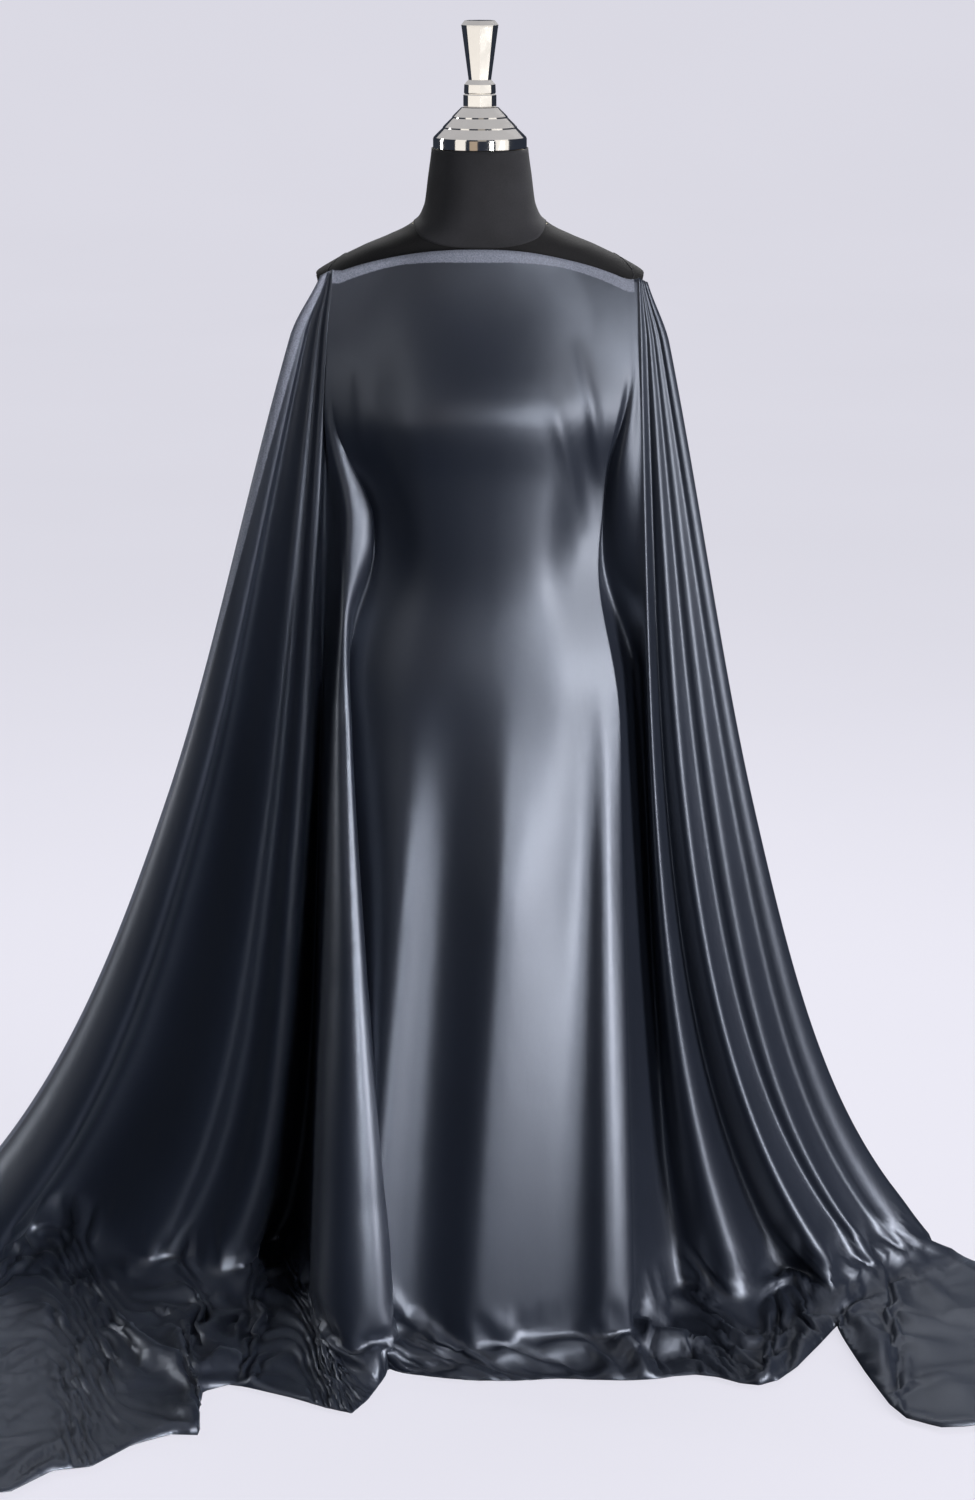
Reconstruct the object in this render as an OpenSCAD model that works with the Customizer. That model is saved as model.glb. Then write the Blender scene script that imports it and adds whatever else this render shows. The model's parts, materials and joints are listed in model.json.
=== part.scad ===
// Dress form mannequin on a swivelling telescopic column, with a length of
// satin pinned across its chest. +Y is the back, -Y the front, +Z up.
// The origin is the centre of the base, on the floor.

/* [Torso] */
// Half the width across the arm plates
shoulder_half = 185; // [181:1:188]
// Height of the pins that hold the cloth at the shoulders
pin_height = 1256; // [1250:1:1260]
// Height of the lower edge of the torso
torso_bottom = 620; // [610:5:630]
// Height of the top of the neck, under the cap
neck_top = 1391; // [1388:1:1394]
// How far each breast stands out of the chest
bust_rise = 28; // [20:1:32]

/* [Column] */
// Radius of the fixed lower tube
lower_pole_r = 16; // [16:0.5:17]
// Radius of the telescopic upper tube
upper_pole_r = 12.5; // [12.5:0.1:12.6]
// Radius of the pivot spindle in the base
spindle_r = 12; // [11.8:0.1:12]
// Height of the top of the lower tube
lower_pole_top = 540; // [520:5:545]

/* [Base] */
// Radius of the round base
base_r = 150; // [140:5:155]
// Height of the base's domed cover
base_h = 33; // [33:0.5:35]

/* [Neck cap] */
// Radius of the cap's polished band
cap_r = 52.5; // [52:0.5:54]
// Height of the stepped dome above the band
dome_h = 34; // [32:1:36]
// Height of the finial's tapered handle
handle_h = 58; // [52:1:62]

/* [Cloth] */
// Thickness that stands for the cloth and its folds
cloth_t = 3; // [3:0.5:4]
// Gap between the cloth and the torso cover
cloth_gap = 6; // [5:0.5:8]

/* [Hidden] */

$fn = 64;
eps = 0.05;         // least gap between faces of separate pieces
fit = 0.06;         // running clearance on a radius
round_fn = 32;

chrome = [0.80, 0.79, 0.76];
black_cloth = [0.05, 0.05, 0.06];
satin = [0.16, 0.18, 0.23];
nylon = [0.85, 0.85, 0.80];
steel = [0.55, 0.56, 0.58];
resin = [0.78, 0.74, 0.62];
wood = [0.70, 0.55, 0.36];

// Base, from the floor up
pad_h = 3;
weight_z = 3.5;
weight_h = 12;
weight_r = base_r - 10;
cover_t = 1.5;
post_z = weight_z + weight_h;
post_boss_r = 20;
washer_h = 2;
spindle_top = 106;

// Column
lower_pole_z = base_h + washer_h + eps;
lower_bore = lower_pole_r - 1.8;
upper_bore = upper_pole_r - 1.5;
upper_pole_z = 250;
upper_pole_top = 820;
collar_h = 44;
collar_r = 22;
bush_lip = 3;
clamp_z = lower_pole_top - 22;
clamp_r = 4;
stop_h = 10;

// Torso fixings
board_h = 12;
board_z = torso_bottom + 5;
socket_bore = upper_pole_r + eps;
socket_r = socket_bore + 3;
socket_z = torso_bottom - 30;
socket_top = 800;
socket_flange_r = 45;
socket_screw_circle = 32;
socket_screw_z = torso_bottom - 16;

// Neck and cap
neck_seam = 1302;
block_r = 47.5;
stud_r = 5;
band_h = 10;
dome_top = neck_top + band_h + dome_h;
dome_top_r = 21;
collar_gap = 0.15;
finial_z = dome_top + collar_gap;
finial_collar_h = 30;
handle_z = finial_z + finial_collar_h;
handle_top = handle_z + handle_h;

// Torso outline: height, half width, front depth, back depth
STATIONS = [
    [620, 152, 96, 112], [680, 160, 101, 122], [745, 163, 104, 121],
    [805, 155, 104, 105], [865, 138, 98, 86], [930, 119, 87, 73],
    [985, 124, 86, 77], [1045, 136, 90, 88], [1108, 147, 95, 98],
    [1155, 156, 91, 104], [1195, 170, 82, 105], [1225, 184, 72, 100],
    [1250, 188, 62, 91], [1268, 161, 58, 84], [1283, 130, 59, 76],
    [1296, 99, 60, 69], [1304, 82, 60, 66], [1314, 69, 60, 63],
    [1330, 62, 58, 60], [1360, 58, 57, 57], [1391, 54, 54, 54]];
torso_power = 2.25;   // superellipse power of the torso's cross-section
arm_plane_top = 1252;
arm_plane_slope = 0.28;
arm_plane_bottom = 1110;
arm_plate_z = 1198;
arm_plate_y = 12;
arm_plate_t = 4;
bust_x = 78;
bust_z = 1108;
seat_x = 70;
seat_z = 705;
seat_rise = 16;

// ---- Smooth interpolation through hand-chosen rows ----

// Catmull-Rom value at t between p1 and p2
function spline(p0, p1, p2, p3, t) =
    0.5 * (2 * p1 + (p2 - p0) * t + (2 * p0 - 5 * p1 + 4 * p2 - p3) * t * t
        + (3 * p1 - p0 - 3 * p2 + p3) * t * t * t);

// Index of the last row whose first value is at or under key
function row_below(rows, key, i = 0) =
    i >= len(rows) - 2 || rows[i + 1][0] > key ? i : row_below(rows, key, i + 1);

// The whole row of a table at key, smoothly interpolated
function at(rows, key) =
    let (i = row_below(rows, key),
        last = len(rows) - 1,
        a = rows[i],
        b = rows[i + 1],
        t = min(1, max(0, (key - a[0]) / (b[0] - a[0]))))
    spline(rows[max(0, i - 1)], a, b, rows[min(last, i + 2)], t);

function ease(t) = let (c = min(1, max(0, t))) c * c * (3 - 2 * c);

function mix(a, b, t) = a + (b - a) * t;

// ---- Torso surface ----

function signed_power(v, p) = sign(v) * pow(abs(v), p);

function arm_plane(z) = shoulder_half - max(0, arm_plane_top - z) * arm_plane_slope;

// A bump of the given rise at (x0, z0) on both sides of the middle; a cloth
// that bridges the two bumps keeps their full rise between them
function bump(x, z, x0, z0, rx, rz, rise, bridged = false) =
    let (dx = abs(x) - x0)
    rise * exp(-pow((bridged ? max(0, dx) : dx) / rx, 2) - pow((z - z0) / rz, 2));

// Point of the torso's outline at an angle and height, grown outwards
function torso_point(angle, z, grow = 0, bridged = false) =
    let (row = at(STATIONS, z),
        c = cos(angle),
        s = sin(angle),
        depth = (s < 0 ? row[2] : row[3]) + grow,
        x_full = (row[1] + grow) * signed_power(c, 2 / torso_power),
        y_full = depth * signed_power(s, 2 / torso_power),
        limit = z > arm_plane_bottom ? arm_plane(z) + grow : 999,
        x = min(limit, max(-limit, x_full)),
        swell = s < 0
            ? -bump(x, z, bust_x, bust_z, 44, 50, bust_rise, bridged) * pow(-s, 0.5)
            : bump(x, z, seat_x, seat_z, 50, 60, seat_rise) * pow(s, 0.5))
    [x, y_full + swell, z];

// ---- Polyhedra over a grid of points ----

// Two triangles for each cell of a grid of rows and columns
function grid_faces(rows, columns, first, closed, flip) =
    [for (i = [0 : rows - 2], j = [0 : columns - (closed ? 1 : 2)])
        let (a = first + i * columns + j,
            b = first + i * columns + (j + 1) % columns,
            c = b + columns,
            d = a + columns)
        each (flip ? [[a, d, c], [a, c, b]] : [[a, c, d], [a, b, c]])];

// Joins two edges of equal length, each a list of point indices
function rim_faces(outer, inner, closed) =
    [for (j = [0 : len(outer) - (closed ? 1 : 2)])
        let (k = (j + 1) % len(outer))
        each [[outer[j], outer[k], inner[k]], [outer[j], inner[k], inner[j]]]];

// A wall between two insets of the torso, round part of its outline
module torso_wall(levels, angles, outer, inner) {
    rows = len(levels);
    columns = len(angles);
    count = rows * columns;
    closed = angles[columns - 1] - angles[0] < 359 && angles[columns - 1] - angles[0] > 190;
    points = [for (inset = [outer, inner], z = levels, angle = angles)
        torso_point(angle, z, -inset)];
    last = count - columns;
    faces = [
        each grid_faces(rows, columns, 0, closed, true),
        each grid_faces(rows, columns, count, closed, false),
        each rim_faces([for (j = [0 : columns - 1]) j],
            [for (j = [0 : columns - 1]) count + j], closed),
        each rim_faces([for (j = [0 : columns - 1]) count + last + j],
            [for (j = [0 : columns - 1]) last + j], closed),
        each (closed ? [] : rim_faces([for (i = [0 : rows - 1]) count + i * columns],
            [for (i = [0 : rows - 1]) i * columns], false)),
        each (closed ? [] : rim_faces([for (i = [0 : rows - 1]) (i + 1) * columns - 1],
            [for (i = [0 : rows - 1]) count + (i + 1) * columns - 1], false))];
    polyhedron(points, faces, convexity = 6);
}

// Heights of the torso's rows, closer together over the shoulders
BODY_LEVELS = [torso_bottom, each [654 : 32 : 1006], each [1036 : 26 : 1218],
    1232, 1244, 1254, 1264, 1273, 1282, 1291, neck_seam];
NECK_LEVELS = [neck_seam + eps, 1309, 1318, 1330, 1350, 1370, neck_top - eps];
SHELL_LEVELS = [each BODY_LEVELS, each [for (k = [1 : 5]) NECK_LEVELS[k]], neck_top - 3];
ROUND_ANGLES = [for (k = [0 : 39]) k * 9];
FRONT_ANGLES = [180.3, each [189 : 9 : 351], 359.7];
BACK_ANGLES = [0.3, each [9 : 9 : 171], 179.7];
cover_t_cloth = 1.5;
shell_outer = 2.6;
shell_inner = 6;

// ---- Cloth surface ----

panel_share = 0.3;   // share of the cloth's half width that covers the torso's front
hip_z = 745;
collar_edge_z = 1284;
PINS = [[-163, -58], [177, -58]];
// How straight each wing hangs, and how sharply it turns outwards near the floor
SWEEP = [[0.72, 6], [0.68, 7.5]];
// Across the cloth from left to right: where it meets the floor, and its hem
FLOOR_LINE = [[-1, -735, 165], [-0.85, -595, 110], [-0.7, -455, 60], [-0.55, -330, 0],
    [-0.42, -205, -60], [-0.3, -150, -178], [0, 5, -190], [0.3, 178, -185],
    [0.42, 216, -55], [0.56, 305, -40], [0.7, 410, -55], [0.85, 480, 50], [1, 560, 190]];
HEM_LINE = [[-1, -825, 160], [-0.9, -800, -210], [-0.8, -640, -490], [-0.7, -470, -500],
    [-0.6, -315, -400], [-0.5, -290, -270], [-0.42, -210, -300], [-0.3, -138, -320],
    [-0.2, -105, -235], [0, 0, -250], [0.3, 184, -250], [0.42, 262, -215],
    [0.56, 325, -262], [0.66, 424, -140], [0.75, 480, -335], [0.85, 610, -365],
    [0.93, 730, -190], [1, 765, 205]];
CLOTH_COLUMNS = [for (k = [-24 : 24]) k / 24];
// Share of the fall at each row, with short steps over the bust
CLOTH_DROPS = [each [0 : 0.025 : 0.2], each [0.25 : 0.05 : 0.9], 0.93, 0.96, 0.98, 1];
LYING_SHARES = [0.12, 0.4, 0.7, 1];
turn_z = 22;

// Angle round the torso that a column of the front panel follows: it reaches
// the arm plates' front edge at the shoulders and the side seams lower down
function panel_angle(u, z) =
    270 + mix(58, 76, ease((pin_height - z) / 150)) * min(1, max(-1, u / panel_share));

function cloth_top(u) = mix(collar_edge_z, pin_height, ease(abs(u) / panel_share));

// The front panel: on the torso down to the hips, then straight to the floor
function panel_point(u, z) =
    let (high = max(z, hip_z),
        on_torso = torso_point(panel_angle(u, high), high, cloth_gap, true),
        floor_point = at(FLOOR_LINE, min(panel_share, max(-panel_share, u))),
        drop = max(0, (hip_z - z) / hip_z),
        fall = mix(drop, ease(drop), 0.5))
    [mix(on_torso[0], floor_point[1], fall), mix(on_torso[1], floor_point[2], fall), z];

// A wing: it fans out from the shoulder pin and sweeps outwards near the floor
function wing_point(u, z) =
    let (side = u < 0 ? 0 : 1,
        drop = max(0, (pin_height - z) / pin_height),
        share = mix(pow(drop, SWEEP[side][1]), drop, SWEEP[side][0]),
        spread = (abs(u) - panel_share) / (1 - panel_share),
        floor_point = at(FLOOR_LINE, u))
    [mix(PINS[side][0] + sign(u) * spread * 14, floor_point[1], share),
        mix(PINS[side][1], floor_point[2], share), z];

function hanging_point(u, drop) =
    let (z = mix(cloth_top(u), turn_z, drop),
        side = ease((abs(u) - panel_share) / 0.16))
    side <= 0 ? panel_point(u, z)
        : mix(panel_point(sign(u) * panel_share, z), wing_point(u, z), side);

// The part that lies on the floor, from the turn out to the hem
function lying_point(u, share) =
    let (near = hanging_point(u, 1),
        hem = at(HEM_LINE, u))
    [mix(near[0], hem[1], share), mix(near[1], hem[2], share),
        mix(turn_z / 2, cloth_t / 2 + 0.4, ease(share * 3))];

CLOTH_GRID = [
    for (drop = CLOTH_DROPS) [for (u = CLOTH_COLUMNS) hanging_point(u, drop)],
    for (share = LYING_SHARES) [for (u = CLOTH_COLUMNS) lying_point(u, share)]];

// Unit normal of the cloth at row i, column j
function cloth_normal(i, j) =
    let (rows = len(CLOTH_GRID) - 1,
        columns = len(CLOTH_COLUMNS) - 1,
        down = CLOTH_GRID[min(rows, i + 1)][j] - CLOTH_GRID[max(0, i - 1)][j],
        over = CLOTH_GRID[i][min(columns, j + 1)] - CLOTH_GRID[i][max(0, j - 1)],
        n = cross(over, down))
    n / norm(n);

// ---- Base ----

module base_pad() {
    color("dimgray") cylinder(r = base_r - 4, h = pad_h);
}

module base_weight() {
    color(steel) translate([0, 0, weight_z]) difference() {
        cylinder(r = weight_r, h = weight_h);
        translate([0, 0, -1]) cylinder(r = 6.1, h = weight_h + 2);
        translate([0, 0, -1]) cylinder(r = 15, h = 8);
    }
}

// Spun dome: an upright rim, a rounded shoulder and a low cone
module base_cover() {
    shoulder = 8;
    rim = base_h - 14;
    flat_r = post_boss_r + 0.5;
    color(chrome) rotate_extrude() difference() {
        union() {
            translate([0, 1]) square([base_r, rim - shoulder - 1]);
            translate([0, 1]) square([base_r - shoulder, rim - 1]);
            translate([base_r - shoulder, rim - shoulder]) circle(r = shoulder);
            polygon([[0, rim - 1], [base_r - shoulder, rim], [50, base_h - 1], [0, base_h - 1]]);
        }
        translate([-1, 0]) square([base_r - cover_t + 1, rim - shoulder]);
        translate([-1, 0]) square([base_r - shoulder + 1, rim - cover_t]);
        translate([base_r - shoulder, rim - shoulder]) circle(r = shoulder - cover_t);
        polygon([[-1, rim - 3], [base_r - shoulder, rim - cover_t],
            [50, base_h - 1 - cover_t], [-1, base_h - 1 - cover_t]]);
        square([flat_r, base_h + 1]);
        translate([base_r - shoulder - 1, -1]) square([shoulder - cover_t + 1, 3]);
        translate([-200, -1]) square([200, base_h + 2]);
    }
}

module base_washer() {
    color(steel) translate([0, 0, weight_z + 5]) difference() {
        cylinder(r = 13, h = 2 - eps);
        translate([0, 0, -1]) cylinder(r = 6.2, h = 4);
    }
}

module base_bolt() {
    color(steel) {
        translate([0, 0, weight_z + 0.4]) cylinder(r = 10, h = 4.6 - eps, $fn = 6);
        translate([0, 0, weight_z + 5 - eps]) cylinder(r = 6, h = 32);
    }
}

module pivot_post() {
    color(steel) difference() {
        union() {
            translate([0, 0, post_z + eps]) cylinder(r = 28, h = 4);
            translate([0, 0, post_z + eps]) cylinder(r = post_boss_r, h = base_h - post_z - eps);
            cylinder_between(spindle_r, base_h - 1, spindle_top);
        }
        cylinder_between(6.1, post_z - 1, 46);
        cylinder_between(3.1, spindle_top - 16, spindle_top + 1);
    }
}

module cylinder_between(r, z0, z1) {
    translate([0, 0, z0]) cylinder(r = r, h = z1 - z0);
}

module ring_between(r_out, r_in, z0, z1) {
    difference() {
        cylinder_between(r_out, z0, z1);
        cylinder_between(r_in, z0 - 1, z1 + 1);
    }
}

module thrust_washer() {
    color(nylon) ring_between(post_boss_r - 1, spindle_r + 0.3, base_h + eps, base_h + washer_h);
}

module pivot_washer() {
    color(steel) ring_between(lower_bore - 0.7, 3.2, spindle_top + eps, spindle_top + 2);
}

module pivot_screw() {
    color(steel) {
        cylinder_between(5, spindle_top + 2 + eps, spindle_top + 6);
        cylinder_between(3, spindle_top - 14, spindle_top + 2 + 2 * eps);
    }
}

// Chrome trim that covers the hole in the base cover
module base_flange() {
    color(chrome) rotate_extrude() difference() {
        polygon([[lower_pole_r + 0.4, base_h - 1 + eps], [50, base_h - 1 + eps], [50, base_h + 1],
            [46, base_h + 3], [28, base_h + 6], [24, base_h + 14], [lower_pole_r + 0.4, base_h + 14]]);
        translate([0, 0]) square([post_boss_r + 0.4, base_h + washer_h + 1]);
    }
}

// ---- Column ----

module lower_pole() {
    color(chrome) difference() {
        ring_between(lower_pole_r, lower_bore, lower_pole_z, lower_pole_top);
        across_y(clamp_r + 0.3, clamp_z, lower_bore - 2, lower_pole_r + 2);
    }
}

// A cylinder along +Y from one distance to another
module across_y(r, z, from, to) {
    translate([0, from, z]) rotate([-90, 0, 0]) cylinder(r = r, h = to - from);
}

module pivot_bush() {
    color(nylon) ring_between(lower_bore - eps, spindle_r + fit, 40, spindle_top - 1);
}

module guide_bush() {
    color(nylon) difference() {
        union() {
            cylinder_between(lower_bore - eps, lower_pole_top - 80, lower_pole_top + bush_lip);
            cylinder_between(lower_pole_r + 1, lower_pole_top + eps, lower_pole_top + bush_lip);
        }
        cylinder_between(upper_pole_r + fit, lower_pole_top - 81, lower_pole_top + 10);
        across_y(clamp_r, clamp_z, upper_pole_r - 3, lower_pole_r + 2);
    }
}

module height_collar() {
    color(chrome) difference() {
        union() {
            cylinder_between(collar_r, lower_pole_top - collar_h, lower_pole_top - 0.5);
            for (z = [lower_pole_top - collar_h, lower_pole_top - 6.5])
                cylinder_between(collar_r + 2, z, z + 6);
            across_y(9, clamp_z, 0, 34);
        }
        cylinder_between(lower_pole_r + eps, lower_pole_top - collar_h - 1, lower_pole_top + 1);
        across_y(clamp_r, clamp_z, 0, 40);
        for (side = [-1, 1])
            translate([0, 0, lower_pole_top - 36]) rotate([0, side * 90, 0]) cylinder(r = 2, h = 40);
    }
}

// Two grub screws that fix the collar to the lower tube
module collar_screws() {
    color(steel) for (side = [-1, 1])
        translate([side * (lower_pole_r + 2 * eps), 0, lower_pole_top - 36])
            rotate([0, side * 90, 0]) cylinder(r = 2 - eps, h = 6);
}

module clamp_pad() {
    color(nylon) across_y(clamp_r - 0.2, clamp_z, upper_pole_r + 0.15, upper_pole_r + 3);
}

module clamp_screw() {
    color(steel) across_y(clamp_r - fit, clamp_z, upper_pole_r + 3 + eps, 46);
}

// Six-lobed hand knob
module clamp_knob() {
    color([0.08, 0.08, 0.09]) translate([0, 37, clamp_z]) rotate([-90, 0, 0]) difference() {
        union() {
            cylinder(r = 9, h = 5);
            translate([0, 0, 4]) difference() {
                cylinder(r = 19, h = 14);
                for (k = [0 : 5]) rotate(k * 60)
                    translate([22, 0, -1]) cylinder(r = 6.5, h = 16);
            }
        }
        translate([0, 0, -1]) cylinder(r = clamp_r, h = 10 + eps);
    }
}

module upper_pole() {
    color(chrome) ring_between(upper_pole_r, upper_bore, upper_pole_z, upper_pole_top);
}

module stop_ring() {
    z = lower_pole_top + bush_lip + 0.1;
    color(chrome) difference() {
        ring_between(20, upper_pole_r + eps, z, z + stop_h);
        across_y(2, z + stop_h / 2, 0, 30);
    }
}

module stop_screw() {
    z = lower_pole_top + bush_lip + 0.1 + stop_h / 2;
    color(steel) across_y(2 - eps, z, upper_pole_r + 2 * eps, 20);
}

module pole_plug() {
    color(nylon) {
        cylinder_between(upper_bore - eps, upper_pole_top - 20, upper_pole_top + 2);
        cylinder_between(upper_pole_r, upper_pole_top + eps, upper_pole_top + 4);
    }
}

// ---- Torso ----

// Tube on a round flange that holds the torso on the upper tube
module pole_socket() {
    color(steel) difference() {
        union() {
            cylinder_between(socket_r, socket_z, socket_top);
            cylinder_between(socket_flange_r, board_z - 4, board_z - eps);
        }
        cylinder_between(socket_bore, socket_z - 1, socket_top + 1);
        across_y(3, socket_screw_z, 0, 30);
        for (k = [0 : 3]) rotate(45 + k * 90)
            translate([socket_screw_circle, 0, 0]) cylinder_between(2.6, board_z - 6, board_z + 1);
    }
}

module socket_screws() {
    color(steel) for (k = [0 : 3]) rotate(45 + k * 90) translate([socket_screw_circle, 0, 0]) {
        cylinder_between(5, board_z - 7, board_z - 4 - eps);
        cylinder_between(2.4, board_z - 4 - 2 * eps, board_z + 9);
    }
}

module set_screw() {
    color(steel) {
        across_y(3 - eps, socket_screw_z, upper_pole_r + 2 * eps, 20);
        across_y(7, socket_screw_z, 20, 27);
    }
}

module bottom_board() {
    inset = shell_inner + 0.5;
    outline = [for (angle = ROUND_ANGLES)
        let (p = torso_point(angle, torso_bottom, -inset)) [p[0], p[1]]];
    color(wood) difference() {
        translate([0, 0, board_z]) linear_extrude(board_h) polygon(outline);
        cylinder_between(socket_r + 0.2, board_z - 1, board_z + board_h + 1);
        for (k = [0 : 3]) rotate(45 + k * 90)
            translate([socket_screw_circle, 0, 0]) cylinder_between(2.5, board_z - 1, board_z + 10);
    }
}

module front_shell() {
    color(resin) torso_wall(SHELL_LEVELS, FRONT_ANGLES, shell_outer, shell_inner);
}

module back_shell() {
    color(resin) torso_wall(SHELL_LEVELS, BACK_ANGLES, shell_outer, shell_inner);
}

module torso_cover() {
    color(black_cloth) torso_wall(BODY_LEVELS, ROUND_ANGLES, 0, cover_t_cloth);
}

module neck_cover() {
    color(black_cloth) torso_wall(NECK_LEVELS, ROUND_ANGLES, 0, cover_t_cloth);
}

// Places its children on the torso's side, where an arm plate sits, +Z outwards
module on_arm_plane(side) {
    translate([side * (arm_plane(arm_plate_z) + 0.4), arm_plate_y, arm_plate_z])
        rotate([0, side * (90 + atan(arm_plane_slope)), 0]) children();
}

// Oval plate that closes an armhole, tilted with the torso's side
module arm_plate(side) {
    color(black_cloth) on_arm_plane(side) difference() {
        linear_extrude(arm_plate_t) oval(42, 34);
        translate([0, 0, -1]) cylinder(r = 3.2, h = arm_plate_t + 2);
    }
}

module oval(long_r, short_r) {
    polygon([for (k = [0 : 39]) [long_r * cos(k * 9), short_r * sin(k * 9)]]);
}

// Left and right are the wearer's, so the left arm is at +X
module left_arm_plate() {
    arm_plate(1);
}

module right_arm_plate() {
    arm_plate(-1);
}

// One round-headed screw through the middle of each arm plate
module arm_plate_screws() {
    color(steel) for (side = [-1, 1]) on_arm_plane(side) {
        translate([0, 0, arm_plate_t + eps]) cylinder(r = 5.5, h = 1.4);
        translate([0, 0, 0.2]) cylinder(r = 3, h = arm_plate_t);
    }
}

module neck_block() {
    color(wood) difference() {
        cylinder_between(block_r, neck_top - 36, neck_top - 3.5);
        cylinder_between(8, neck_top - 37, neck_top);
    }
}

module neck_insert() {
    color([0.75, 0.62, 0.30])
        ring_between(8 - eps, stud_r + eps, neck_top - 34, neck_top - 3.5);
}

// ---- Neck cap and finial ----

// Stepped dome over a polished band, hollow, with a foot that rests on the neck
module neck_cap() {
    step_r = (cap_r - dome_top_r) / 3;
    step_h = dome_h / 3;
    base = neck_top + band_h;
    color(chrome) rotate_extrude() difference() {
        union() {
            translate([0, neck_top]) square([cap_r, band_h]);
            for (k = [0 : 2]) {
                r = cap_r - k * step_r;
                z = base + k * step_h;
                polygon([[0, z - 1], [r, z - 1], [r - 0.6, z + 1.5], [r - 3, z + 4],
                    [r - step_r + 1, z + step_h - 1], [r - step_r, z + step_h], [0, z + step_h]]);
            }
        }
        polygon([[0, neck_top + 2], [cap_r - 2.5, neck_top + 2], [cap_r - 2.5, base - 1],
            [cap_r - 6, base + 1], [dome_top_r - 3, dome_top - 3], [0, dome_top - 3]]);
        square([stud_r + 0.25, 2000]);
        translate([0, neck_top - 1]) square([cap_r - 9, 4]);
    }
}

module cap_clip() {
    color(steel) ring_between(9, stud_r + 0.02, dome_top - 4.6, dome_top - 3.15);
}

module finial_stud() {
    color(steel) cylinder_between(stud_r, neck_top - 22, handle_z + 20);
}

// Two stacked eight-sided nuts
module finial_collar() {
    lower_h = 15;
    upper_z = finial_z + lower_h;
    upper_h = finial_collar_h - lower_h;
    color(chrome) difference() {
        union() {
            eight_sided(17.5, 18.5, finial_z, 1.5);
            eight_sided(18.5, 18.5, finial_z + 1.5, lower_h - 3);
            eight_sided(18.5, 17, finial_z + lower_h - 1.5, 1.5);
            eight_sided(17, 17.8, upper_z, 1.2);
            eight_sided(17.8, 17.4, upper_z + 1.2, upper_h - 6.2);
            eight_sided(17.4, 13, upper_z + upper_h - 5, 5);
        }
        cylinder_between(stud_r + 0.02, finial_z - 1, handle_z + 1);
    }
}

module eight_sided(r0, r1, z, h) {
    translate([0, 0, z]) cylinder(r1 = r0, r2 = r1, h = h, $fn = 8);
}

module finial_handle() {
    color(chrome) difference() {
        eight_sided(12.6, 20.4, handle_z + eps, handle_h - eps);
        cylinder_between(stud_r + 0.02, handle_z - 1, handle_z + 20.5);
    }
}

module finial_button() {
    color(chrome) {
        eight_sided(20.4, 20.8, handle_top + eps, 1.5);
        eight_sided(20.8, 17, handle_top + eps + 1.5, 5);
    }
}

// ---- Cloth and its pins ----

module drape() {
    rows = len(CLOTH_GRID);
    columns = len(CLOTH_COLUMNS);
    count = rows * columns;
    points = [for (side = [-0.5, 0.5], i = [0 : rows - 1], j = [0 : columns - 1])
        CLOTH_GRID[i][j] + side * cloth_t * cloth_normal(i, j)];
    last = count - columns;
    top = [for (j = [0 : columns - 1]) j];
    left = [for (i = [0 : rows - 1]) i * columns];
    faces = [
        each grid_faces(rows, columns, 0, false, false),
        each grid_faces(rows, columns, count, false, true),
        each rim_faces([for (j = top) count + j], top, false),
        each rim_faces([for (j = top) last + j], [for (j = top) count + last + j], false),
        each rim_faces(left, [for (i = left) count + i], false),
        each rim_faces([for (i = left) count + i + columns - 1],
            [for (i = left) i + columns - 1], false)];
    color(satin) polyhedron(points, faces, convexity = 8);
}

// Glass-headed pins through the cloth's edge, one in front of each shoulder
module shoulder_pins() {
    color(steel) for (side = [-1, 1]) {
        p = panel_point(side * 0.28, pin_height - 8);
        translate(p) rotate([-78, 0, 0]) {
            translate([0, 0, -4]) cylinder(r = 0.5, h = 20);
            translate([0, 0, -5.5]) sphere(r = 2);
        }
    }
}

base_pad();
base_weight();
base_cover();
base_bolt();
base_washer();
pivot_post();
thrust_washer();
pivot_washer();
pivot_screw();
base_flange();
lower_pole();
pivot_bush();
guide_bush();
height_collar();
collar_screws();
clamp_pad();
clamp_screw();
clamp_knob();
upper_pole();
stop_ring();
stop_screw();
pole_plug();
pole_socket();
socket_screws();
set_screw();
bottom_board();
front_shell();
back_shell();
torso_cover();
neck_cover();
left_arm_plate();
right_arm_plate();
arm_plate_screws();
neck_block();
neck_insert();
neck_cap();
cap_clip();
finial_stud();
finial_collar();
finial_handle();
finial_button();
drape();
shoulder_pins();
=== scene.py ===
"""Looks of the dress form: the torso's cloth, the polished cap and stand, and the satin pinned across it."""
import json
import math

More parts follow.
